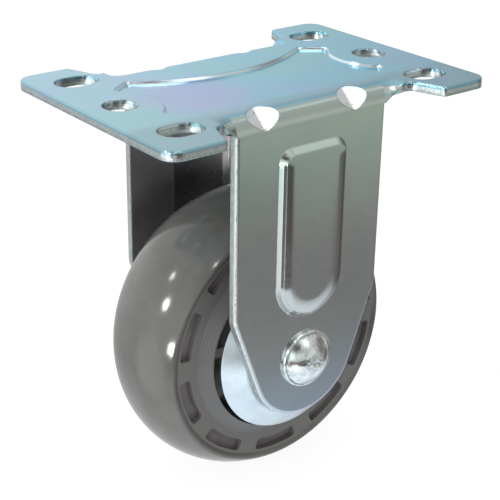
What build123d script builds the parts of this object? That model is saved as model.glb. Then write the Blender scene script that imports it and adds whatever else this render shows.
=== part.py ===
# Fixed caster: a pressed steel fork and mounting plate in one piece, a riveted axle and a ball-bearing
# wheel with a crowned elastomer tread. The origin is the middle of the plate's top face, +Z is up,
# X is the rolling direction and Y runs along the axle. The front leg is the one on the -Y side.
from build123d import *
from math import acos, atan2, cos, hypot, radians, sin, sqrt, tan
import os

os.makedirs("parts", exist_ok=True)

# Pressed bracket, all lengths in millimetres
sheet = 2.3
plate_length = 92.0
plate_width = 65.0
plate_corner_radius = 4.0
slot_pitch_x = 71.0
slot_pitch_y = 43.0
slot_length = 11.0
slot_width = 8.0
mid_hole_pitch = 74.0
mid_hole_diameter = 8.4
fork_outer_width = 46.0
leg_width = 43.7
bend_radius = 4.4
axle_drop = 65.2
leg_straight_depth = 50.5
leg_end_radius = 15.4
leg_shoulder_radius = 6.0
leg_edge_radius = 0.9
plate_edge_radius = 0.5

# Corner notches beside each bend
lug_tip_gap = 9.6
notch_corner_gap = 6.6
notch_depth = 8.5
flare_width = 4.8
lug_tip_radius = 1.0
notch_radius = 2.4

# Pressed waist in the plate
emboss_depth = 0.75
emboss_draft = 30.0
emboss_wall_margin = 0.7
arm_tip_x = 26.0
arm_tip_y = 15.0
arm_end_x = 33.0
arm_end_y = 10.2
rear_waist_y = 6.9
front_waist_y = 11.7
pad_inner_x = 27.8
emboss_corner_radius = 1.6

# Gusset dents across each bend
dent_pitch = 26.0
dent_shift = -0.8
dent_floor_width = 0.8
dent_top_y = 18.2
dent_foot_depth = 4.2
dent_draft = 71.0
dent_cut_height = 1.8

# Raised panel on each leg
panel_width = 20.0
panel_top_depth = 9.7
panel_foot_depth = 53.5
panel_rise = 1.4
panel_draft = 43.0
panel_corner_radius = 3.6
panel_shoulder_radius = 1.2

# Riveted axle
axle_diameter = 8.0
fit_clearance = 0.02
washer_diameter = 15.0
washer_thickness = 1.0
head_diameter = 13.2
head_edge = 0.3
head_rise = 3.2
tail_diameter = 11.6
tail_rise = 1.8
dimple_diameter = 2.6
dimple_depth = 0.35

# Ball bearings
bearing_outer_diameter = 22.0
bearing_width = 7.0
ball_diameter = 3.9
ball_count = 7
ball_clearance = 0.05
race_wall = 2.1
shield_thickness = 0.35
shield_inset = 0.25
shield_clearance = 0.3
cage_back_reach = 2.45
cage_front_reach = 0.8
cage_thickness = 1.4

# Thread guards between the legs and the wheel
guard_sheet = 0.8
guard_face_diameter = 32.0
guard_rim_diameter = 42.6
guard_depth = 3.8
guard_fillet = 1.6
guard_seat_depth = 0.5
guard_seat_diameter = 11.6

# Wheel core and tread
wheel_diameter = 75.0
tread_width = 26.8
crown_drop = 5.2
shoulder_radius = 1.0
sidewall_width = 25.2
sidewall_outer_diameter = 62.2
step_diameter = 50.6
lip_diameter = 44.0
lip_width = 30.0
rim_diameter = 62.0
rim_width = 22.0
hub_diameter = 28.0
hub_end_gap = 0.6
hub_mid_bore = 17.6
web_thickness = 5.0
rib_count = 10
rib_thickness = 2.4
rib_width = 18.0
pocket_count = 10
pocket_outer_diameter = 60.8
pocket_inner_diameter = 54.6
pocket_span = 25.0
pocket_corner_radius = 0.9
pocket_phase = 161.3

# Derived planes and sizes
small = 0.05
fork_outer_y = fork_outer_width / 2
fork_inner_y = fork_outer_y - sheet
bend_start_y = fork_outer_y - bend_radius
half_leg = leg_width / 2
half_length = plate_length / 2
half_width = plate_width / 2
notch_y = half_width - notch_depth
flare_end_x = half_leg + flare_width
lug_tip_x = half_leg + lug_tip_gap
notch_corner_x = half_leg + notch_corner_gap
axle_radius = axle_diameter / 2
bore_radius = axle_radius + fit_clearance
axle_axis = Axis((0, 0, -axle_drop), (0, 1, 0))
axle_section = Plane(origin=(0, 0, -axle_drop), x_dir=(0, 1, 0), z_dir=(1, 0, 0))
front_face = Plane.XZ.offset(fork_outer_y)
inner_face = Plane.XZ.offset(fork_inner_y)

# The leg tapers from its straight sides to a round end about the axle
shoulder_reach = hypot(half_leg, axle_drop - leg_straight_depth)
shoulder_angle = atan2(axle_drop - leg_straight_depth, half_leg)
tangent_angle = shoulder_angle - acos(leg_end_radius / shoulder_reach)
tangent_x = leg_end_radius * cos(tangent_angle)
tangent_z = -axle_drop + leg_end_radius * sin(tangent_angle)

with BuildPart() as front_leg:
    # Leg blank
    with BuildSketch(front_face):
        with BuildLine():
            Polyline(
                (tangent_x, tangent_z),
                (half_leg, -leg_straight_depth),
                (half_leg, -bend_radius),
                (-half_leg, -bend_radius),
                (-half_leg, -leg_straight_depth),
                (-tangent_x, tangent_z),
            )
            ThreePointArc((-tangent_x, tangent_z), (0, -axle_drop - leg_end_radius), (tangent_x, tangent_z))
        leg_outline = make_face()
        corners = leg_outline.vertices().filter_by(lambda v: abs(abs(v.X) - half_leg) < small)
        fillet(corners.sort_by(Axis.Y)[:2], leg_shoulder_radius)
        with Locations((0, -axle_drop)):
            Circle(bore_radius, mode=Mode.SUBTRACT)
    extrude(amount=-sheet)
    sheared = front_leg.faces().sort_by(Axis.Y)[0].outer_wire().edges()
    fillet(sheared.filter_by(lambda e: e.center().Z < -bend_radius - small), leg_edge_radius)

    # Bend between the plate and the leg
    with BuildSketch(Plane.YZ):
        with Locations((-bend_start_y, -bend_radius)):
            Circle(bend_radius)
            Circle(bend_radius - sheet, mode=Mode.SUBTRACT)
            Rectangle(bend_radius, bend_radius, align=(Align.MAX, Align.MIN), mode=Mode.INTERSECT)
    extrude(amount=half_leg, both=True)

    # Flares that carry the ends of the bend out into the flat plate
    for side in (-1, 1):
        with BuildSketch(Plane.YZ.offset(side * half_leg)):
            with BuildLine():
                outer_bend = CenterArc((-bend_start_y, -bend_radius), bend_radius, 90, 90)
                inner_bend = CenterArc((-bend_start_y, -bend_radius), bend_radius - sheet, 90, 90)
                Line(outer_bend @ 0, inner_bend @ 0)
                Line(outer_bend @ 1, inner_bend @ 1)
            make_face()
        with BuildSketch(Plane.YZ.offset(side * flare_end_x)):
            with BuildLine():
                Polyline(
                    (-bend_start_y, -sheet),
                    (-bend_start_y, 0),
                    (-notch_y, 0),
                    (-notch_y, -sheet),
                    close=True,
                )
            make_face()
        loft(ruled=True)

    # Raised panel, with its hollow on the inside
    with BuildSketch(front_face) as panel_outline:
        with BuildLine():
            half_panel = panel_width / 2
            panel_round_z = -panel_foot_depth + half_panel
            Polyline(
                (half_panel, panel_round_z),
                (half_panel, -panel_top_depth),
                (-half_panel, -panel_top_depth),
                (-half_panel, panel_round_z),
            )
            ThreePointArc((-half_panel, panel_round_z), (0, -panel_foot_depth), (half_panel, panel_round_z))
        make_face()
        fillet(panel_outline.vertices().sort_by(Axis.Y)[-2:], panel_corner_radius)
    extrude(amount=panel_rise, taper=panel_draft)
    with BuildSketch(inner_face):
        hollow_margin = sheet * tan(radians((90 - panel_draft) / 2))
        add(panel_outline.sketch.moved(Location((0, sheet, 0))).faces())
        offset(amount=-hollow_margin, mode=Mode.REPLACE)
    extrude(amount=panel_rise, taper=panel_draft, mode=Mode.SUBTRACT)

# Gusset dents: wide shallow vees whose narrow floors slope down from the plate to the leg
dent_run = fork_outer_y - dent_top_y
dent_floor_length = hypot(dent_run, dent_foot_depth)
dent_wall_margin = sheet * tan(radians((90 - dent_draft) / 2))
dent_normal = (0, -dent_foot_depth, dent_run)
dent_middle_y = -dent_top_y - dent_run / 2
dent_middle_z = -dent_foot_depth / 2
dent_planes = [
    Plane(origin=(x, dent_middle_y, dent_middle_z), x_dir=(1, 0, 0), z_dir=dent_normal)
    for x in (dent_shift - dent_pitch / 2, dent_shift + dent_pitch / 2)
]

with BuildPart() as dent_cuts:
    with BuildSketch(*dent_planes):
        Rectangle(dent_floor_width, dent_floor_length)
    extrude(amount=dent_cut_height, taper=-dent_draft)

with BuildPart() as dent_ridges:
    with BuildSketch(*[floor.offset(-sheet) for floor in dent_planes]):
        Rectangle(dent_floor_width + 2 * dent_wall_margin, dent_floor_length)
    extrude(amount=dent_cut_height, taper=-dent_draft)
    with BuildSketch(Plane.YZ):
        with Locations((-fork_inner_y, -sheet)):
            Rectangle(2 * bend_radius, 2 * bend_radius, align=(Align.MIN, Align.MAX))
    extrude(amount=half_leg, both=True, mode=Mode.INTERSECT)

with BuildPart() as bracket:
    # Flat plate with its corner lugs
    with BuildSketch() as plate_outline:
        for sx in (-1, 1):
            for sy in (-1, 1):
                with BuildLine():
                    Polyline(
                        (0, 0),
                        (sx * half_length, 0),
                        (sx * half_length, sy * half_width),
                        (sx * lug_tip_x, sy * half_width),
                        (sx * notch_corner_x, sy * notch_y),
                        (sx * flare_end_x, sy * notch_y),
                        (sx * flare_end_x, sy * bend_start_y),
                        (0, sy * bend_start_y),
                        close=True,
                    )
                make_face()
        outer_corners = plate_outline.vertices().filter_by(lambda v: abs(v.X) > half_length - small)
        outer_corners = outer_corners.filter_by(lambda v: abs(v.Y) > notch_y)
        fillet(outer_corners, plate_corner_radius)
        lug_tips = plate_outline.vertices().filter_by(lambda v: abs(abs(v.X) - lug_tip_x) < small)
        fillet(lug_tips.filter_by(lambda v: abs(v.Y) > notch_y), lug_tip_radius)
        notch_corners = plate_outline.vertices().filter_by(lambda v: abs(abs(v.X) - notch_corner_x) < small)
        fillet(notch_corners.filter_by(lambda v: abs(v.Y) > bend_start_y), notch_radius)
        with GridLocations(slot_pitch_x, slot_pitch_y, 2, 2):
            SlotOverall(slot_length, slot_width, mode=Mode.SUBTRACT)
        with GridLocations(mid_hole_pitch, 0, 2, 1):
            Circle(mid_hole_diameter / 2, mode=Mode.SUBTRACT)
    extrude(amount=-sheet)
    plate_edges = bracket.faces().sort_by(Axis.Z)[-1].outer_wire().edges()
    fillet(plate_edges.filter_by(lambda e: abs(e.center().X) > flare_end_x + small), plate_edge_radius)

    # Pressed waist: sunk in the top face, standing out below
    with BuildSketch() as waist_outline:
        with BuildLine():
            rear_tips = (-arm_tip_x, arm_tip_y), (arm_tip_x, arm_tip_y)
            front_tips = (-arm_tip_x, -arm_tip_y), (arm_tip_x, -arm_tip_y)
            ThreePointArc(rear_tips[0], (0, rear_waist_y), rear_tips[1])
            Line(rear_tips[1], (arm_end_x, arm_end_y))
            ThreePointArc((arm_end_x, arm_end_y), (pad_inner_x, 0), (arm_end_x, -arm_end_y))
            Line((arm_end_x, -arm_end_y), front_tips[1])
            ThreePointArc(front_tips[1], (0, -front_waist_y), front_tips[0])
            Line(front_tips[0], (-arm_end_x, -arm_end_y))
            ThreePointArc((-arm_end_x, -arm_end_y), (-pad_inner_x, 0), (-arm_end_x, arm_end_y))
            Line((-arm_end_x, arm_end_y), rear_tips[0])
        make_face()
        fillet(waist_outline.vertices(), emboss_corner_radius)
    with BuildSketch(Plane.XY.offset(-sheet)):
        add(waist_outline.sketch)
    extrude(amount=-emboss_depth, taper=emboss_draft)
    extrude(waist_outline.sketch, amount=-emboss_depth, taper=emboss_draft, mode=Mode.SUBTRACT)

    # Both legs and the dents pressed across their bends
    add(front_leg.part)
    add(dent_ridges.part)
    mirror(front_leg.part, about=Plane.XZ)
    mirror(dent_ridges.part, about=Plane.XZ)
    add(dent_cuts.part, mode=Mode.SUBTRACT)
    mirror(dent_cuts.part, about=Plane.XZ, mode=Mode.SUBTRACT)

bracket.part.label = "bracket"
export_step(bracket.part, "parts/bracket.step")

# Rivet through both legs, with a domed head and a flatter formed tail, each over a washer
head_base_y = fork_outer_y + washer_thickness

with BuildPart() as axle:
    with BuildSketch(axle_section):
        Rectangle(2 * head_base_y, axle_radius, align=(Align.CENTER, Align.MIN))
    revolve(axis=axle_axis)
    for side, cap_diameter, cap_rise in ((-1, head_diameter, head_rise), (1, tail_diameter, tail_rise)):
        cap_radius = cap_diameter / 2
        dome_rise = cap_rise - head_edge
        dome_radius = (cap_radius**2 + dome_rise**2) / (2 * dome_rise)
        mid_rise = cap_rise - dome_radius + sqrt(dome_radius**2 - cap_radius**2 / 4)
        with BuildSketch(axle_section):
            with BuildLine():
                Polyline(
                    (side * (head_base_y + cap_rise), 0),
                    (side * head_base_y, 0),
                    (side * head_base_y, cap_radius),
                    (side * (head_base_y + head_edge), cap_radius),
                )
                ThreePointArc(
                    (side * (head_base_y + head_edge), cap_radius),
                    (side * (head_base_y + mid_rise), cap_radius / 2),
                    (side * (head_base_y + cap_rise), 0),
                )
            make_face()
        revolve(axis=axle_axis)
        with BuildSketch(axle_section):
            with BuildLine():
                Polyline(
                    (side * (head_base_y + cap_rise + dimple_depth), 0),
                    (side * (head_base_y + cap_rise + dimple_depth), dimple_diameter),
                    (side * (head_base_y + cap_rise - dimple_depth), 0),
                    close=True,
                )
            make_face()
        revolve(axis=axle_axis, mode=Mode.SUBTRACT)
axle.part.label = "axle"
export_step(axle.part, "parts/axle.step")

with BuildPart() as head_washer:
    with BuildSketch(Plane.XZ.offset(fork_outer_y)):
        with Locations((0, -axle_drop)):
            Circle(washer_diameter / 2)
            Circle(bore_radius, mode=Mode.SUBTRACT)
    extrude(amount=washer_thickness)
    fillet(head_washer.faces().sort_by(Axis.Y)[0].outer_wire().edges(), plate_edge_radius)
head_washer.part.label = "head_washer"
export_step(head_washer.part, "parts/head_washer.step")

with BuildPart() as tail_washer:
    mirror(head_washer.part, about=Plane.XZ)
tail_washer.part.label = "tail_washer"
export_step(tail_washer.part, "parts/tail_washer.step")

# Dished guards that keep thread off the bearings; the middle of each is pressed in to seat on one race
guard_inner_y = fork_inner_y - guard_sheet
bearing_end_y = guard_inner_y - guard_seat_depth
bearing_start_y = bearing_end_y - bearing_width
bearing_middle_y = bearing_end_y - bearing_width / 2
seat_radius = guard_seat_diameter / 2

with BuildPart() as guard_front:
    with BuildSketch(axle_section):
        with BuildLine():
            guard_line = Polyline(
                (guard_seat_depth - fork_inner_y, bore_radius),
                (guard_seat_depth - fork_inner_y, seat_radius - guard_seat_depth),
                (-fork_inner_y, seat_radius),
                (-fork_inner_y, guard_face_diameter / 2),
                (guard_depth - fork_inner_y, guard_rim_diameter / 2),
            )
            fillet(guard_line.vertices()[3], guard_fillet)
            offset(amount=guard_sheet, side=Side.RIGHT)
        make_face()
    revolve(axis=axle_axis)
guard_front.part.label = "guard_front"
export_step(guard_front.part, "parts/guard_front.step")

with BuildPart() as guard_rear:
    mirror(guard_front.part, about=Plane.XZ)
guard_rear.part.label = "guard_rear"
export_step(guard_rear.part, "parts/guard_rear.step")

# Tube that holds the two inner races apart
pitch_radius = (axle_radius + bearing_outer_diameter / 2) / 2
inner_race_radius = bore_radius + race_wall
outer_race_radius = bearing_outer_diameter / 2 - fit_clearance
groove_radius = ball_diameter / 2 + ball_clearance
race_bore_radius = outer_race_radius - race_wall
shield_reach = race_bore_radius + ball_clearance + shield_thickness
shield_seat_depth = shield_inset + shield_thickness

with BuildPart() as spacer_tube:
    with BuildSketch(Plane.XZ.offset(-bearing_start_y)):
        with Locations((0, -axle_drop)):
            Circle(inner_race_radius)
            Circle(bore_radius, mode=Mode.SUBTRACT)
    extrude(amount=2 * bearing_start_y)
spacer_tube.part.label = "spacer_tube"
export_step(spacer_tube.part, "parts/spacer_tube.step")

# Front bearing, then the rear one as its mirror image
with BuildPart() as inner_race_front:
    with BuildSketch(axle_section) as inner_section:
        with Locations((-bearing_middle_y, bore_radius)):
            Rectangle(bearing_width, race_wall, align=(Align.CENTER, Align.MIN))
        chamfer(inner_section.vertices().sort_by(Axis.Y)[:2], shield_inset)
        with Locations((-bearing_middle_y, pitch_radius)):
            Circle(groove_radius, mode=Mode.SUBTRACT)
    revolve(axis=axle_axis)
inner_race_front.part.label = "inner_race_front"
export_step(inner_race_front.part, "parts/inner_race_front.step")

with BuildPart() as outer_race_front:
    with BuildSketch(axle_section) as outer_section:
        with Locations((-bearing_middle_y, outer_race_radius)):
            Rectangle(bearing_width, race_wall, align=(Align.CENTER, Align.MAX))
        chamfer(outer_section.vertices().sort_by(Axis.Y)[-2:], shield_inset)
        with Locations((-bearing_middle_y, pitch_radius)):
            Circle(groove_radius, mode=Mode.SUBTRACT)
        with Locations((-bearing_end_y, race_bore_radius)):
            Rectangle(2 * shield_seat_depth, 2 * (shield_reach - race_bore_radius), mode=Mode.SUBTRACT)
        with Locations((-bearing_start_y, race_bore_radius)):
            Rectangle(2 * shield_seat_depth, 2 * (shield_reach - race_bore_radius), mode=Mode.SUBTRACT)
    revolve(axis=axle_axis)
outer_race_front.part.label = "outer_race_front"
export_step(outer_race_front.part, "parts/outer_race_front.step")

with BuildPart() as outer_shield_front:
    with BuildSketch(Plane.XZ.offset(bearing_end_y - shield_seat_depth)):
        with Locations((0, -axle_drop)):
            Circle(shield_reach)
            Circle(inner_race_radius + shield_clearance, mode=Mode.SUBTRACT)
    extrude(amount=shield_thickness)
outer_shield_front.part.label = "outer_shield_front"
export_step(outer_shield_front.part, "parts/outer_shield_front.step")

with BuildPart() as inner_shield_front:
    mirror(outer_shield_front.part, about=Plane.XZ.offset(bearing_middle_y))
inner_shield_front.part.label = "inner_shield_front"
export_step(inner_shield_front.part, "parts/inner_shield_front.step")

ball_ring = Plane(origin=(0, -bearing_middle_y, -axle_drop), x_dir=(1, 0, 0), z_dir=(0, -1, 0))

with BuildPart() as balls_front:
    with Locations(ball_ring):
        with PolarLocations(pitch_radius, ball_count):
            Sphere(ball_diameter / 2)
balls_front.part.label = "balls_front"
export_step(balls_front.part, "parts/balls_front.step")

with BuildPart() as cage_front:
    with BuildSketch(Plane.XZ.offset(bearing_middle_y - cage_front_reach)):
        with Locations((0, -axle_drop)):
            Circle(pitch_radius + cage_thickness / 2)
            Circle(pitch_radius - cage_thickness / 2, mode=Mode.SUBTRACT)
    extrude(amount=cage_front_reach + cage_back_reach)
    with Locations(ball_ring):
        with PolarLocations(pitch_radius, ball_count):
            Sphere(ball_diameter / 2 + fit_clearance, mode=Mode.SUBTRACT)
cage_front.part.label = "cage_front"
export_step(cage_front.part, "parts/cage_front.step")

with BuildPart() as inner_race_rear:
    mirror(inner_race_front.part, about=Plane.XZ)
inner_race_rear.part.label = "inner_race_rear"
export_step(inner_race_rear.part, "parts/inner_race_rear.step")

with BuildPart() as outer_race_rear:
    mirror(outer_race_front.part, about=Plane.XZ)
outer_race_rear.part.label = "outer_race_rear"
export_step(outer_race_rear.part, "parts/outer_race_rear.step")

with BuildPart() as outer_shield_rear:
    mirror(outer_shield_front.part, about=Plane.XZ)
outer_shield_rear.part.label = "outer_shield_rear"
export_step(outer_shield_rear.part, "parts/outer_shield_rear.step")

with BuildPart() as inner_shield_rear:
    mirror(inner_shield_front.part, about=Plane.XZ)
inner_shield_rear.part.label = "inner_shield_rear"
export_step(inner_shield_rear.part, "parts/inner_shield_rear.step")

with BuildPart() as balls_rear:
    mirror(balls_front.part, about=Plane.XZ)
balls_rear.part.label = "balls_rear"
export_step(balls_rear.part, "parts/balls_rear.step")

with BuildPart() as cage_rear:
    mirror(cage_front.part, about=Plane.XZ)
cage_rear.part.label = "cage_rear"
export_step(cage_rear.part, "parts/cage_rear.step")

# Wheel core: hub, ribbed web and a solid rim
hub_radius = hub_diameter / 2
rim_radius = rim_diameter / 2
lip_radius = lip_diameter / 2
seat_bore_radius = bearing_outer_diameter / 2
hub_end_y = guard_inner_y - hub_end_gap

with BuildPart() as wheel_core:
    with BuildSketch(axle_section):
        with Locations((0, hub_mid_bore / 2)):
            Rectangle(2 * hub_end_y, hub_radius - hub_mid_bore / 2, align=(Align.CENTER, Align.MIN))
        with Locations((-bearing_start_y, seat_bore_radius)):
            Rectangle(bearing_width, bearing_width, align=(Align.MAX, Align.MAX), mode=Mode.SUBTRACT)
        with Locations((bearing_start_y, seat_bore_radius)):
            Rectangle(bearing_width, bearing_width, align=(Align.MIN, Align.MAX), mode=Mode.SUBTRACT)
        with Locations((0, hub_radius)):
            Rectangle(web_thickness, rim_radius - hub_radius, align=(Align.CENTER, Align.MIN))
        with Locations((0, lip_radius)):
            Rectangle(rim_width, rim_radius - lip_radius, align=(Align.CENTER, Align.MIN))
    revolve(axis=axle_axis)
    rib_length = lip_radius - hub_radius + rib_thickness
    with Locations(Plane(origin=(0, 0, -axle_drop), x_dir=(1, 0, 0), z_dir=(0, -1, 0))):
        with PolarLocations((hub_radius + lip_radius) / 2, rib_count):
            Box(rib_length, rib_thickness, rib_width)
wheel_core.part.label = "wheel_core"
export_step(wheel_core.part, "parts/wheel_core.step")

# Elastomer tread, moulded round the rim and over its sides
half_tread = tread_width / 2
half_rim = rim_width / 2
half_side = sidewall_width / 2
half_lip = lip_width / 2
wheel_radius = wheel_diameter / 2
crown_edge_radius = wheel_radius - crown_drop
pocket_outer_radius = pocket_outer_diameter / 2
pocket_inner_radius = pocket_inner_diameter / 2

with BuildPart() as tread:
    with BuildSketch(axle_section) as tread_section:
        with BuildLine():
            crown_ends = (-half_tread, crown_edge_radius), (half_tread, crown_edge_radius)
            ThreePointArc(crown_ends[0], (0, wheel_radius), crown_ends[1])
            for side in (-1, 1):
                Polyline(
                    (side * half_tread, crown_edge_radius),
                    (side * half_side, sidewall_outer_diameter / 2),
                    (side * half_side, step_diameter / 2),
                    (side * half_lip, lip_radius),
                    (side * half_rim, lip_radius),
                    (side * half_rim, rim_radius),
                )
            Line((-half_rim, rim_radius), (half_rim, rim_radius))
        make_face()
        shoulders = tread_section.vertices().filter_by(lambda v: abs(abs(v.X) - half_tread) < small)
        fillet(shoulders, shoulder_radius)
    revolve(axis=axle_axis)
    for side in (-1, 1):
        with BuildSketch(Plane.XZ.offset(side * half_rim)) as pocket_section:
            for k in range(pocket_count):
                pocket_start = pocket_phase - pocket_span / 2 + k * 360 / pocket_count
                with BuildLine():
                    outer_arc = CenterArc((0, -axle_drop), pocket_outer_radius, pocket_start, pocket_span)
                    inner_arc = CenterArc((0, -axle_drop), pocket_inner_radius, pocket_start, pocket_span)
                    Line(outer_arc @ 0, inner_arc @ 0)
                    Line(outer_arc @ 1, inner_arc @ 1)
                make_face()
            fillet(pocket_section.vertices(), pocket_corner_radius)
        extrude(amount=side * (half_side - half_rim), mode=Mode.SUBTRACT)
tread.part.label = "tread"
export_step(tread.part, "parts/tread.step")
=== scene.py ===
# Fixed caster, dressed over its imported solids. Lengths are in metres, in the frame of the solids: the
# origin is the middle of the plate's top face, +Z is up, X is the rolling direction, Y is the axle.
import math

import bpy
from mathutils import Matrix, Vector

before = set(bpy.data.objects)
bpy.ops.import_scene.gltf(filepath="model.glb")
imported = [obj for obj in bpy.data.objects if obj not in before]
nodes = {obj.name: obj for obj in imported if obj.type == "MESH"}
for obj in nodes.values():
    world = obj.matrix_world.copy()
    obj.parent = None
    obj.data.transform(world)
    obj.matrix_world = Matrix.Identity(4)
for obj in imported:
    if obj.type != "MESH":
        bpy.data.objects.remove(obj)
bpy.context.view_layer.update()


# Bracket: plate and both legs in one blank of 2.3 mm steel, pierced, drawn and bent cold, then zinc
# plated and passivated. The dip leaves a pale blue bloom on the plate and greyer legs. Sheared and
# pierced walls are bright where the cut starts and torn after it.
class Signal:
    """One output of a node tree. Sums, differences and products of signals add their own Math nodes."""

    def __init__(self, socket):
        self.socket = socket
        self.tree = socket.id_data

    def node(self, kind, settings, inputs, outlet=0):
        """Adds a node, its settings first and then its inputs, and gives one of its outputs."""
        made = self.tree.nodes.new(kind)
        for name, value in settings.items():
            setattr(made, name, value)
        for name, value in inputs.items():
            if isinstance(value, Signal):
                self.tree.links.new(value.socket, made.inputs[name])
            elif isinstance(value, tuple) and made.inputs[name].type == "RGBA":
                made.inputs[name].default_value = (*value, 1)
            else:
                made.inputs[name].default_value = value
        return Signal(made.outputs[outlet])

    def combine(self, operation, first, second):
        """A Math node over two signals or numbers."""
        return self.node("ShaderNodeMath", {"operation": operation}, {0: first, 1: second})

    def __add__(self, other):
        return self.combine("ADD", self, other)

    __radd__ = __add__

    def __sub__(self, other):
        return self.combine("SUBTRACT", self, other)

    def __rsub__(self, other):
        return self.combine("SUBTRACT", other, self)

    def __mul__(self, other):
        return self.combine("MULTIPLY", self, other)

    def __or__(self, other):
        return self.combine("MAXIMUM", self, other)

    def __and__(self, other):
        return self.combine("MINIMUM", self, other)

    def __abs__(self):
        return self.node("ShaderNodeMath", {"operation": "ABSOLUTE"}, {0: self})

    def rise(self, low, high):
        """0 below low and 1 above high, with a soft step between. With low above high it falls."""
        soft_step = {"interpolation_type": "SMOOTHSTEP"}
        return self.node("ShaderNodeMapRange", soft_step, {0: self, 1: low, 2: high})

    def noise(self, scale, detail=2.0, roughness=0.5):
        inputs = {"Vector": self, "Scale": scale, "Detail": detail, "Roughness": roughness}
        return self.node("ShaderNodeTexNoise", {}, inputs)

    def stretched(self, x, y, z):
        return self.node("ShaderNodeMapping", {}, {"Vector": self, "Scale": (x, y, z)})

    def mix(self, under, over):
        """The colour under where this signal is 0, and the colour over where it is 1."""
        return self.node("ShaderNodeMix", {"data_type": "RGBA"}, {0: self, 6: under, 7: over}, 2)

    def feed(self, shader, name):
        """Links this signal to a named input of a shader."""
        self.tree.links.new(self.socket, shader.inputs[name])


def new_finish(name, metallic):
    """A material, its shader, and its object coordinates in millimetres."""
    material = bpy.data.materials.new(name)
    material.use_nodes = True
    shader = material.node_tree.nodes["Principled BSDF"]
    shader.inputs["Metallic"].default_value = metallic
    metres = Signal(material.node_tree.nodes.new("ShaderNodeTexCoord").outputs["Object"])
    return material, shader, metres.stretched(1000, 1000, 1000)


def across(place):
    """The three coordinates of a place."""
    split = place.node("ShaderNodeSeparateXYZ", {}, {0: place}).socket.node
    return Signal(split.outputs["X"]), Signal(split.outputs["Y"]), Signal(split.outputs["Z"])


def ramp(signal, stops):
    """Colours along a signal from 0 to 1. Each stop is a level and the colour at it."""
    colours = signal.node("ShaderNodeValToRGB", {}, {0: signal})
    made = colours.socket.node.color_ramp.elements
    while len(made) < len(stops):
        made.new(0.5)
    for stop, (level, colour) in zip(made, stops):
        stop.position = level
        stop.color = (*colour, 1)
    return colours


def eased(place, radius):
    """The surface's direction with its edges eased by a radius in metres."""
    return place.node("ShaderNodeBevel", {"samples": 3}, {"Radius": radius})


def relief(height, depth, strength, under):
    """A bump from a height signal, with its depth in metres, over the direction under it."""
    inputs = {"Height": height, "Distance": depth, "Strength": strength, "Normal": under}
    return height.node("ShaderNodeBump", {}, inputs)


def reach(place, centre, weight=(1, 1, 1)):
    """Distance of a place from a centre in millimetres. An axis of weight 0 isn't counted."""
    offset = tuple(-c * w for c, w in zip(centre, weight))
    moved = place.node("ShaderNodeMapping", {}, {"Vector": place, "Location": offset, "Scale": weight})
    return moved.node("ShaderNodeVectorMath", {"operation": "LENGTH"}, {0: moved}, "Value")


def off_the_axle(place):
    """Distance of a place from the axle's line in millimetres."""
    return reach(place, (0, 0, -axle_drop), (1, 0, 1))


def dress(piece, material):
    """Gives a piece one material, in place of what it came with."""
    piece.data.materials.clear()
    piece.data.materials.append(material)


# Sizes in millimetres. taper_normal points out of the leg's slanted side, and tangent_slope is that of
# the line from the axle to where the slanted side meets the round end.
sheet = 2.3
axle_drop = 65.2
leg_face = 23.0
leg_back = leg_face - sheet
half_leg = 21.85
leg_end_radius = 15.4
taper_normal = (0.938, -0.3466)
tangent_slope = 0.3695
bend_start = 18.6
bend_radius = 4.4
bend_inside = bend_radius - sheet
waist_depth = 0.75
half_waist = 43.0
dent_offset = 13.0
dent_shift = 0.8
half_dent = 6.2
half_panel = 10.0
panel_top = 9.7
panel_round = 43.5
panel_corner = 6.3
ramp_length = 82
bright_zinc = (0.94, 0.96, 0.96)

plated, plated_shader, place = new_finish("blue_passivated_zinc", 1.0)
x, y, z = across(place)
folded = place.node("ShaderNodeVectorMath", {"operation": "ABSOLUTE"}, {0: place})
width, depth, drop = across(folded)

# Clouding of the passivation. level is 1 on the flat plate and falls round the bend and down the legs,
# with green and violet tinges. The plate is paler towards its left end. The thin dark line in the ramp
# where the bend starts is painted shade, and the darker green of the bend below it is partly the bloom
# and partly painted shade.
cloud = place.noise(0.035)
fine_cloud = place.noise(0.16, 3.0, 0.6)
flat = depth.rise(bend_start + 0.1, bend_start - 0.2) | width.rise(half_leg, half_leg + 0.3)
flat = flat * drop.rise(sheet + 0.6, sheet + 0.2)
fall = drop * (1.0 - flat)
uneven = (fine_cloud - 0.5) * fall.rise(2.0, 10.0) * 0.05
level = 1.0 - fall * (1 / ramp_length) + uneven
down_the_bracket = ramp(
    level,
    [
        (0.00, (0.50, 0.60, 0.68)),
        (0.14, (0.52, 0.60, 0.65)),
        (0.30, (0.56, 0.58, 0.57)),
        (0.62, (0.57, 0.59, 0.57)),
        (0.84, (0.52, 0.62, 0.57)),
        (0.935, (0.55, 0.64, 0.58)),
        # painted shade: the bend darker here, and a thin dark line where it starts
        (0.972, (0.46, 0.52, 0.48)),
        (0.9925, (0.42, 0.50, 0.48)),
        (0.9942, (0.20, 0.24, 0.24)),
        (0.9956, (0.27, 0.54, 0.66)),
        (1.00, (0.255, 0.56, 0.71)),
    ],
)
on_plate = fall.rise(0.5, 0.25)
pale_end = on_plate * x.rise(0.0, -30.0)
bloom_and_painted_light = (pale_end * 0.8).mix(down_the_bracket, (0.345, 0.55, 0.65))
green_bloom = on_plate * cloud.rise(0.52, 0.40) * 0.45
bloom_and_painted_light = green_bloom.mix(bloom_and_painted_light, (0.30, 0.58, 0.60))
# Painted shade: the front of the plate darker by the bend
painted_shade_by_the_bend = on_plate * depth.rise(14.0, bend_start - 0.1) * y.rise(0.0, -1.0) * 0.6
bloom_and_painted_light = painted_shade_by_the_bend.mix(bloom_and_painted_light, (0.26, 0.40, 0.45))
violet_patch = reach(place, (-18, -3, 0)).rise(19, 5) * 0.75 | cloud.rise(0.56, 0.68) * 0.25
bloom_and_painted_light = (on_plate * violet_patch).mix(bloom_and_painted_light, (0.41, 0.45, 0.73))
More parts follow.
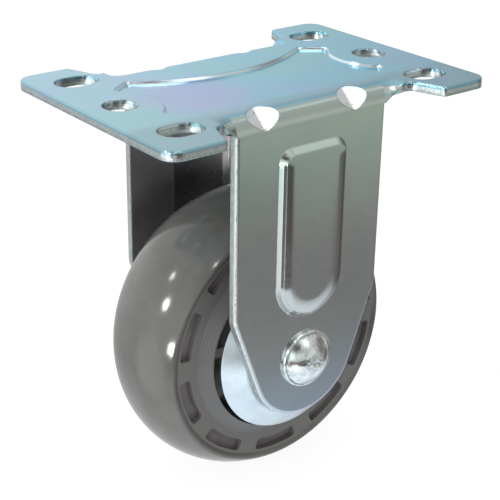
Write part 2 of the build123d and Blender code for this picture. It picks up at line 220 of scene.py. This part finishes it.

# The drawn walls of the waist and the two dents across each bend are bright zinc, partly burnished by the
# press and partly a painted highlight
drawn = drop.rise(0.05, 0.14) * drop.rise(waist_depth - 0.01, waist_depth - 0.07)
waist_wall = drawn * depth.rise(bend_start, bend_start - 0.6) * width.rise(half_waist + 0.5, half_waist)
round_the_bend = reach(folded, (0, bend_start, bend_radius), (0, 1, 1))
off_a_dent = abs(abs(x + dent_shift) - dent_offset)
near_a_dent = off_a_dent.rise(half_dent + 0.4, half_dent) * depth.rise(bend_start - 0.6, bend_start - 0.2)
near_a_dent = near_a_dent * drop.rise(bend_radius + 0.5, bend_radius + 0.1)
within_sheet = round_the_bend.rise(bend_radius - 0.04, bend_radius - 0.1)
in_dent = near_a_dent * within_sheet * round_the_bend.rise(bend_inside + 0.2, bend_inside + 0.5)
bloom_and_painted_light = (waist_wall * 0.6 | in_dent).mix(bloom_and_painted_light, bright_zinc)
rubbed = place.stretched(0.35, 1.0, 1.0).noise(2.4, 3.0, 0.6).rise(0.60, 0.66) * in_dent
bloom_and_painted_light = (rubbed * 0.7).mix(bloom_and_painted_light, (0.22, 0.22, 0.22))

# Inner faces of the legs, which gathered less of the bloom, and the panel's hollow in them, darkened with
# painted shade
inside = depth.rise(leg_face - 0.8, leg_face - 1.0) * drop.rise(3.5, 4.5)
bloom_and_painted_light = inside.mix(bloom_and_painted_light, (0.60, 0.57, 0.59))
in_the_hollow = depth.rise(leg_back + 0.1, leg_back + 0.25) * width.rise(half_panel + 2.5, half_panel + 2.0)
# Painted shade: the hollow behind the panel is darker
painted_shade_in_hollow = inside * in_the_hollow
bloom_and_painted_light = painted_shade_in_hollow.mix(bloom_and_painted_light, (0.24, 0.22, 0.23))

# Cut walls: outline, notches, slots and holes of the plate, and the sheared edge of the legs.
# leg_edge is the distance past the leg's outline, below 0 inside it.
from_axle = off_the_axle(place)
far_off = 100
taper_edge = width * taper_normal[0] + (z + axle_drop) * taper_normal[1] - leg_end_radius
under_tangent = (width * tangent_slope + z + axle_drop).rise(0.2, 0.0)
round_edge = from_axle - leg_end_radius - (1.0 - under_tangent) * far_off
leg_edge = (width - half_leg) | taper_edge | round_edge
leg_wall = leg_edge.rise(-0.12, -0.04) * drop.rise(4.0, 4.6)
off_the_bend = width.rise(half_leg, half_leg + 0.1) | depth.rise(bend_start, bend_start - 0.1)
plate_edge = drop.rise(waist_depth + 0.07, waist_depth + 0.15) * drop.rise(sheet - 0.04, sheet - 0.1)
plate_wall = plate_edge * off_the_bend
torn_noise = place.stretched(1.0, 1.0, 0.35).noise(1.6, 4.0, 0.7)
torn_leg = depth.rise(leg_face - 1.0, leg_face - 1.3) * leg_wall
torn_plate = (drop - torn_noise * 0.5).rise(1.25, 1.5) * plate_wall
torn = torn_leg | torn_plate
cut = leg_wall | plate_wall
streaks = place.stretched(2.2, 2.2, 0.15).noise(1.0, 3.0, 0.65)
cut_colour = streaks.rise(0.35, 0.65).mix((0.46, 0.52, 0.51), (0.62, 0.66, 0.66))
torn_colour = torn_noise.rise(0.4, 0.62).mix((0.36, 0.40, 0.38), (0.50, 0.54, 0.52))
walls = torn.mix(cut_colour, torn_colour)

# A lighter lilac band along the lower rim of the leg, partly a lilac tinge and partly a painted highlight
# on its rounded edge, and a bright burr on the lip of its cut
lilac_tinge_and_rim_highlight = leg_edge.rise(-2.6, -0.6) * drop.rise(46.0, 58.0) * (x + 8.0).rise(0.0, 8.0) * 0.6
bloom_and_painted_light = lilac_tinge_and_rim_highlight.mix(bloom_and_painted_light, (0.56, 0.60, 0.72))
lip = leg_edge.rise(-0.4, -0.2) * depth.rise(leg_face - 0.5, leg_face - 0.3)
burr = lip * drop.rise(4.0, 5.0) * torn_noise.rise(0.40, 0.50)
(burr * 0.8).mix(cut.mix(bloom_and_painted_light, walls), bright_zinc).feed(plated_shader, "Base Color")

# The raised panel's shoulder is drawn soft and burnished, with a crease where its wall leaves the leg.
# pressing is how far, in millimetres, the face lies off the modelled one.
shoulder_start = 5.0
shoulder_width = 3.7
crease_width = 0.8
corner = {0: width - half_panel, 1: panel_top - drop, 2: panel_corner}
upper = width.node("ShaderNodeMath", {"operation": "SMOOTH_MAX"}, corner)
lower = reach(place, (0, 0, -panel_round), (1, 0, 1)) - half_panel
below = drop.rise(panel_round - 0.1, panel_round + 0.1)
past_wall = upper * (1.0 - below) + lower * below
past_side = (width - half_panel) * (1.0 - below) + lower * below
shoulder = ((past_side + shoulder_start) | 0.0) & shoulder_width
crease = ((0.0 - past_side) | 0.0) & crease_width
pressing = shoulder * shoulder * -0.07 + crease * 0.55
on_panel = past_wall.rise(0.05, -0.05) * depth.rise(leg_face - 0.2, leg_face - 0.1)
burnished = on_panel * past_side.rise(-4.5, -3.5)

# Faint grain of the rolled sheet, draw marks over the bend, and small pits that catch the light
grain = place.stretched(0.25, 3.0, 3.0).noise(2.4, 3.0, 0.6)
mottle = place.noise(0.5, 4.0, 0.62)
pits = place.noise(4.5, 2.0, 0.5).rise(0.66, 0.74)
dullness = 0.13 - burnished * 0.03 + inside * 0.16 + mottle * 0.07 + grain * 0.04
dullness = dullness + pits * 0.06 + torn * 0.16 + cut * 0.04
dullness.feed(plated_shader, "Roughness")
surface = grain * 0.12 + mottle * 0.4 + torn_noise * torn * 3.0 - pits * 0.15
below_corner = drop.rise(panel_top + 1.5, panel_top + 4.5)
waves = place.stretched(1.0, 1.0, 0.4).noise(0.07, 1.5, 0.4)
pressed = relief(pressing, depth=0.001, strength=on_panel * below_corner, under=eased(place, radius=0.0005))
wavy = relief(waves, depth=0.00022, strength=1.0, under=pressed)
relief(surface, depth=0.00002, strength=0.55, under=wavy).feed(plated_shader, "Normal")
dress(nodes["bracket"], plated)

# Rivet: an 8 mm steel pin, plated, pushed through both legs and headed cold over a washer at each end.
# The heading tool leaves a hammered crown and fine rings, and the washers are stamped from strip.
def even_rings(distance, pace):
    """A wave along a distance, by so many radians in a millimetre."""
    return distance.node("ShaderNodeMath", {"operation": "SINE"}, {0: distance * pace})


rivet_steel, rivet_shader, place = new_finish("headed_rivet_steel", 1.0)
from_axle = off_the_axle(place)
rings = even_rings(from_axle, pace=14.0)
hammered = place.noise(0.55)
scuffs = place.stretched(1.0, 1.0, 0.3).noise(1.8, 4.0, 0.65)
crown = from_axle.rise(6.4, 4.0)
tint = hammered.rise(0.35, 0.65).mix((0.60, 0.66, 0.66), (0.80, 0.84, 0.83))
scuffs.rise(0.60, 0.70).mix(tint, (0.42, 0.42, 0.40)).feed(rivet_shader, "Base Color")
(0.11 + scuffs * 0.12).feed(rivet_shader, "Roughness")
punched = place.noise(1.3).rise(0.45, 0.62) * from_axle.rise(3.4, 1.8)
surface = hammered * crown * 3.0 + punched * 2.2 + rings * 0.05 + scuffs * 0.3
edges = eased(place, radius=0.0003)
relief(surface, depth=0.00006, strength=0.6, under=edges).feed(rivet_shader, "Normal")
for name in ("axle", "head_washer", "tail_washer", "spacer_tube"):
    dress(nodes[name], rivet_steel)

# Thread guards: thin dished covers, spun from bright sheet and clamped between the leg and the bearing.
# Spinning leaves fine rings round the axle.
def turned_rings(distance, scale):
    """Uneven rings along a distance, as a spinning or grinding tool leaves them."""
    inputs = {"W": distance, "Scale": scale, "Detail": 3.0}
    return distance.node("ShaderNodeTexNoise", {"noise_dimensions": "1D"}, inputs)


spun_steel, spun_shader, place = new_finish("spun_bright_sheet", 1.0)
spun_rings = turned_rings(off_the_axle(place), scale=5.0)
patches = place.noise(0.2, 3.0, 0.6)
patches.rise(0.35, 0.65).mix((0.58, 0.68, 0.74), (0.68, 0.76, 0.80)).feed(spun_shader, "Base Color")
(0.22 + spun_rings * 0.08 + patches * 0.08).feed(spun_shader, "Roughness")
edges = eased(place, radius=0.0002)
relief(spun_rings, depth=0.000015, strength=0.5, under=edges).feed(spun_shader, "Normal")
for name in ("guard_front", "guard_rear"):
    dress(nodes[name], spun_steel)

# Ball bearings: hardened rings and balls, ground and polished, closed by thin stamped shields. The
# guards hide them; they show only when the caster is taken apart.
bearing_steel, bearing_shader, place = new_finish("ground_bearing_steel", 1.0)
grinding = turned_rings(off_the_axle(place), scale=9.0)
oil = place.noise(0.3, 3.0, 0.6)
oil.rise(0.35, 0.7).mix((0.60, 0.61, 0.62), (0.52, 0.52, 0.50)).feed(bearing_shader, "Base Color")
(0.12 + grinding * 0.10 + oil * 0.06).feed(bearing_shader, "Roughness")
edges = eased(place, radius=0.00015)
relief(grinding, depth=0.00002, strength=0.4, under=edges).feed(bearing_shader, "Normal")
for side in ("front", "rear"):
    for part in ("inner_race", "outer_race", "inner_shield", "outer_shield", "balls"):
        dress(nodes[part + "_" + side], bearing_steel)

# Ball cages: moulded in natural nylon, one in each bearing, with the dull skin of the mould.
cage_nylon, cage_shader, place = new_finish("cage_nylon", 0.0)
milk = place.noise(0.8, 3.0, 0.6)
milk.rise(0.3, 0.7).mix((0.42, 0.40, 0.33), (0.33, 0.31, 0.26)).feed(cage_shader, "Base Color")
(0.42 + milk * 0.14).feed(cage_shader, "Roughness")
skin = place.noise(5.0)
edges = eased(place, radius=0.0001)
relief(skin, depth=0.00002, strength=0.4, under=edges).feed(cage_shader, "Normal")
for name in ("cage_front", "cage_rear"):
    dress(nodes[name], cage_nylon)

# Wheel core: hub, web, ribs and rim moulded in one in dark brown filled plastic, a little rough from the
# filler. It shows behind the guards, and near the hub it is painted pale: painted light standing in for
# the light that hardly reaches that deep gap.
core_plastic, core_shader, place = new_finish("dark_core_plastic", 0.0)
filler = place.noise(2.6, 4.0, 0.65)
flow = place.stretched(0.3, 1.0, 0.3).noise(0.4, 3.0, 0.6)
# Painted light: paler near the hub, deep behind the guards
painted_light_on_hub = off_the_axle(place).rise(22.0, 19.0)
brown = flow.rise(0.35, 0.65).mix((0.160, 0.140, 0.145), (0.210, 0.185, 0.190))
(painted_light_on_hub * 0.9).mix(brown, (0.55, 0.54, 0.52)).feed(core_shader, "Base Color")
(0.40 + filler * 0.22).feed(core_shader, "Roughness")
edges = eased(place, radius=0.0003)
relief(filler, depth=0.00004, strength=0.5, under=edges).feed(core_shader, "Normal")
dress(nodes["wheel_core"], core_plastic)

# Tread: grey elastomer cast round the core, with a crowned glossy face and ten pockets a side. The
# mould leaves a hair line round the crown and fine turned rings on the cone beside the guard.
wheel_radius = 37.5
half_side = 12.6
side_radius = 31.1
cone_radii = (22.0, 25.3)
pocket_radii = (27.3, 30.4)

tread_rubber, tread_shader, place = new_finish("grey_tread_elastomer", 0.0)
from_middle = abs(across(place)[1])
from_axle = off_the_axle(place)
haze = place.noise(0.07, 3.0, 0.6)
specks = place.noise(3.2)
on_cone = from_axle.rise(cone_radii[1] + 0.05, cone_radii[1] - 0.1)
on_cone = on_cone * from_axle.rise(cone_radii[0] - 0.2, cone_radii[0])
cone_rings = even_rings(from_axle, pace=11.0)
on_side = from_middle.rise(half_side - 0.3, half_side - 0.1)
on_side = on_side * from_axle.rise(side_radius + 0.3, side_radius - 0.1)
parting = from_middle.rise(0.16, 0.05) * from_axle.rise(wheel_radius - 1.0, wheel_radius - 0.5)
warm = haze.rise(0.35, 0.65).mix((0.117, 0.115, 0.105), (0.141, 0.138, 0.126))
side_tone = on_side.mix(warm, (0.155, 0.149, 0.142))
# Painted light: the deep pocket walls are a lighter brown than the rubber round them
painted_light_in_pocket = from_axle.rise(pocket_radii[0] - 0.2, pocket_radii[0] - 0.1)
painted_light_in_pocket = painted_light_in_pocket * from_axle.rise(pocket_radii[1] + 0.3, pocket_radii[1] + 0.2)
painted_light_in_pocket = painted_light_in_pocket * from_middle.rise(half_side - 0.25, half_side - 0.6)
dusted = (specks.rise(0.66, 0.74) * 0.35).mix(side_tone, (0.24, 0.235, 0.22))
cone_tone = (on_cone * 0.7).mix(dusted, (0.100, 0.100, 0.100))
(painted_light_in_pocket * 0.85).mix(cone_tone, (0.170, 0.150, 0.155)).feed(tread_shader, "Base Color")
(0.07 + haze * 0.07 + specks * 0.05 + on_side * 0.22).feed(tread_shader, "Roughness")
surface = specks * 0.05 + haze * 0.6 + cone_rings * on_cone * 0.6 + parting * 0.4
edges = eased(place, radius=0.0003)
relief(surface, depth=0.00006, strength=0.5, under=edges).feed(tread_shader, "Normal")
tread_shader.inputs["Specular IOR Level"].default_value = 0.55
dress(nodes["tread"], tread_rubber)

# Studio, drawn in the world alone: a pale sweep behind the caster, a dimmer room behind the camera, a
# dark band with bright paper under it low on the left, and cards. The camera itself sees plain white.
world = bpy.data.worlds.new("studio")
bpy.context.scene.world = world
world.use_nodes = True
background = world.node_tree.nodes["Background"]
direction = Signal(world.node_tree.nodes.new("ShaderNodeTexCoord").outputs["Generated"])
x, y, z = across(direction)
height = z * 0.5 + 0.5
behind_camera = ramp(
    height,
    [
        (0.00, (0.98, 1.04, 1.12)),
        (0.12, (0.94, 1.00, 1.08)),
        (0.20, (0.70, 0.74, 0.78)),
        (0.245, (0.40, 0.41, 0.42)),
        (0.27, (0.24, 0.24, 0.24)),
        (0.305, (0.205, 0.205, 0.205)),
        (0.33, (0.49, 0.51, 0.48)),
        (0.42, (0.62, 0.64, 0.61)),
        (0.50, (0.76, 0.76, 0.74)),
        (0.70, (0.62, 0.64, 0.62)),
        (1.00, (0.70, 0.72, 0.72)),
    ],
)
backdrop = ramp(
    height,
    [
        (0.00, (0.95, 0.96, 0.98)),
        (0.18, (0.80, 0.82, 0.85)),
        (0.28, (0.52, 0.54, 0.55)),
        (0.38, (0.70, 0.72, 0.73)),
        (0.52, (1.00, 1.00, 1.00)),
        (1.00, (1.00, 1.00, 1.00)),
    ],
)

# A greyer wall far on the right, a warm seam overhead, and the dark band over bright paper on the left
far_side = z.rise(-0.2, 0.1) * x.rise(0.42, 0.82)
backdrop = far_side.mix(backdrop, (0.52, 0.54, 0.55))
light = y.rise(-0.05, 0.04).mix(behind_camera, backdrop)
seam = abs(y + 0.08).rise(0.08, 0.02) * z.rise(0.45, 0.65)
light = (seam * 0.7).mix(light, (0.36, 0.30, 0.26))
to_the_left = x.rise(0.36, 0.12) * y.rise(0.10, -0.02)
light = (to_the_left * z.rise(-0.42, -0.52)).mix(light, (1.00, 1.08, 1.16))
dark_horizon = z.rise(-0.14, -0.24) * z.rise(-0.51, -0.43)
light = (to_the_left * dark_horizon).mix(light, (0.085, 0.065, 0.06))

# Cards, each a patch of the world in one direction, so it lights and shows in the metal alike: the
# direction, full within so many degrees of it, gone past so many, and the glow
cards = [
    ((0.03, -0.27, 0.96), 8, 12, (3.6, 3.6, 3.6)),
    ((-0.44, -0.64, 0.62), 13, 21, (0.12, 0.09, 0.085)),
    ((0.62, -0.15, 0.77), 5, 9, (1.2, 1.2, 1.2)),
    ((0.14, -0.74, 0.66), 6, 14, (1.7, 1.7, 1.7)),
    ((0.90, -0.40, 0.10), 14, 26, (0.28, 0.24, 0.22)),
    ((0.93, -0.10, -0.36), 6, 16, (0.20, 0.18, 0.17)),
    ((-0.50, -0.70, -0.52), 6, 14, (1.6, 1.62, 1.65)),
    ((-0.91, 0.12, -0.40), 12, 28, (1.6, 1.68, 1.75)),
    ((-0.72, -0.69, 0.08), 6, 14, (1.6, 1.7, 1.72)),
]
for toward, inner, outer, glow in cards:
    inputs = {0: direction, 1: Vector(toward).normalized()}
    facing = direction.node("ShaderNodeVectorMath", {"operation": "DOT_PRODUCT"}, inputs, "Value")
    card = facing.rise(math.cos(math.radians(outer)), math.cos(math.radians(inner)))
    light = card.mix(light, glow)

# What the camera sees past the caster is white paper
seen = direction.node("ShaderNodeLightPath", {}, {}, "Is Camera Ray")
seen.mix(light, (1.0, 1.0, 1.0)).feed(background, "Color")

# Lamps: five small round heads. The two strong ones on the left leave the bright points on the tread's
# crown, and three faint ones stand above. Each row is a direction, the head's width in degrees, strength.
lamps = [
    ((-0.93, -0.01, 0.36), 8, 0.60),
    ((-0.91, -0.39, -0.15), 9, 0.80),
    ((-0.38, 0.32, 0.87), 5, 0.14),
    ((-0.76, 0.18, 0.63), 5, 0.14),
    ((-0.36, -0.51, 0.78), 5, 0.18),
]
for number, (toward, head_width, strength) in enumerate(lamps):
    lamp_data = bpy.data.lights.new(f"lamp_{number}", "SUN")
    lamp_data.angle = math.radians(head_width)
    lamp_data.energy = strength
    lamp = bpy.data.objects.new(f"lamp_{number}", lamp_data)
    lamp.rotation_euler = Vector(toward).to_track_quat("Z", "Y").to_euler()
    bpy.context.scene.collection.objects.link(lamp)

# Floor: white paper under the wheel. It glows, so the camera sees it white, with a faint shadow of the
# caster. It isn't mirrored and lights nothing, because the world already stands for the lit paper.
floor_height = -0.1027
bpy.ops.object.select_all(action="DESELECT")
bpy.ops.mesh.primitive_plane_add(size=4, location=(0, 0, floor_height))
floor = bpy.context.active_object
floor.name = "floor"
paper = bpy.data.materials.new("white_paper")
paper.use_nodes = True
paper_shader = paper.node_tree.nodes["Principled BSDF"]
paper_shader.inputs["Base Color"].default_value = (0.12, 0.12, 0.12, 1)
paper_shader.inputs["Roughness"].default_value = 0.95
paper_shader.inputs["Specular IOR Level"].default_value = 0.0
paper_shader.inputs["Emission Color"].default_value = (1, 1, 1, 1)
paper_shader.inputs["Emission Strength"].default_value = 0.92
dress(floor, paper)
floor.visible_glossy = False
floor.visible_diffuse = False
floor.visible_shadow = False

# Camera at the photograph's angle, as fitted to the plate's outline, the slots, the legs and the wheel
camera_place = (-0.18101, -0.23165, 0.08718)
look_yaw = math.radians(36.063)
look_pitch = math.radians(24.732)
look_roll = math.radians(0.117)
camera_data = bpy.data.cameras.new("camera")
camera_data.lens = 92.201
camera_data.sensor_width = 36
camera_data.shift_x = 0.08
camera_data.shift_y = 0.024
camera = bpy.data.objects.new("camera", camera_data)
bpy.context.scene.collection.objects.link(camera)
level_reach = math.cos(look_pitch)
ahead_x = math.sin(look_yaw) * level_reach
ahead_y = math.cos(look_yaw) * level_reach
forward = Vector((ahead_x, ahead_y, -math.sin(look_pitch)))
right = Vector((math.cos(look_yaw), -math.sin(look_yaw), 0))
up = right.cross(forward)
turn = Matrix((right, up, -forward)).transposed() @ Matrix.Rotation(look_roll, 3, "Z")
camera.matrix_world = Matrix.Translation(camera_place) @ turn.to_4x4()
bpy.context.scene.camera = camera

bpy.context.scene.view_settings.view_transform = "Standard"
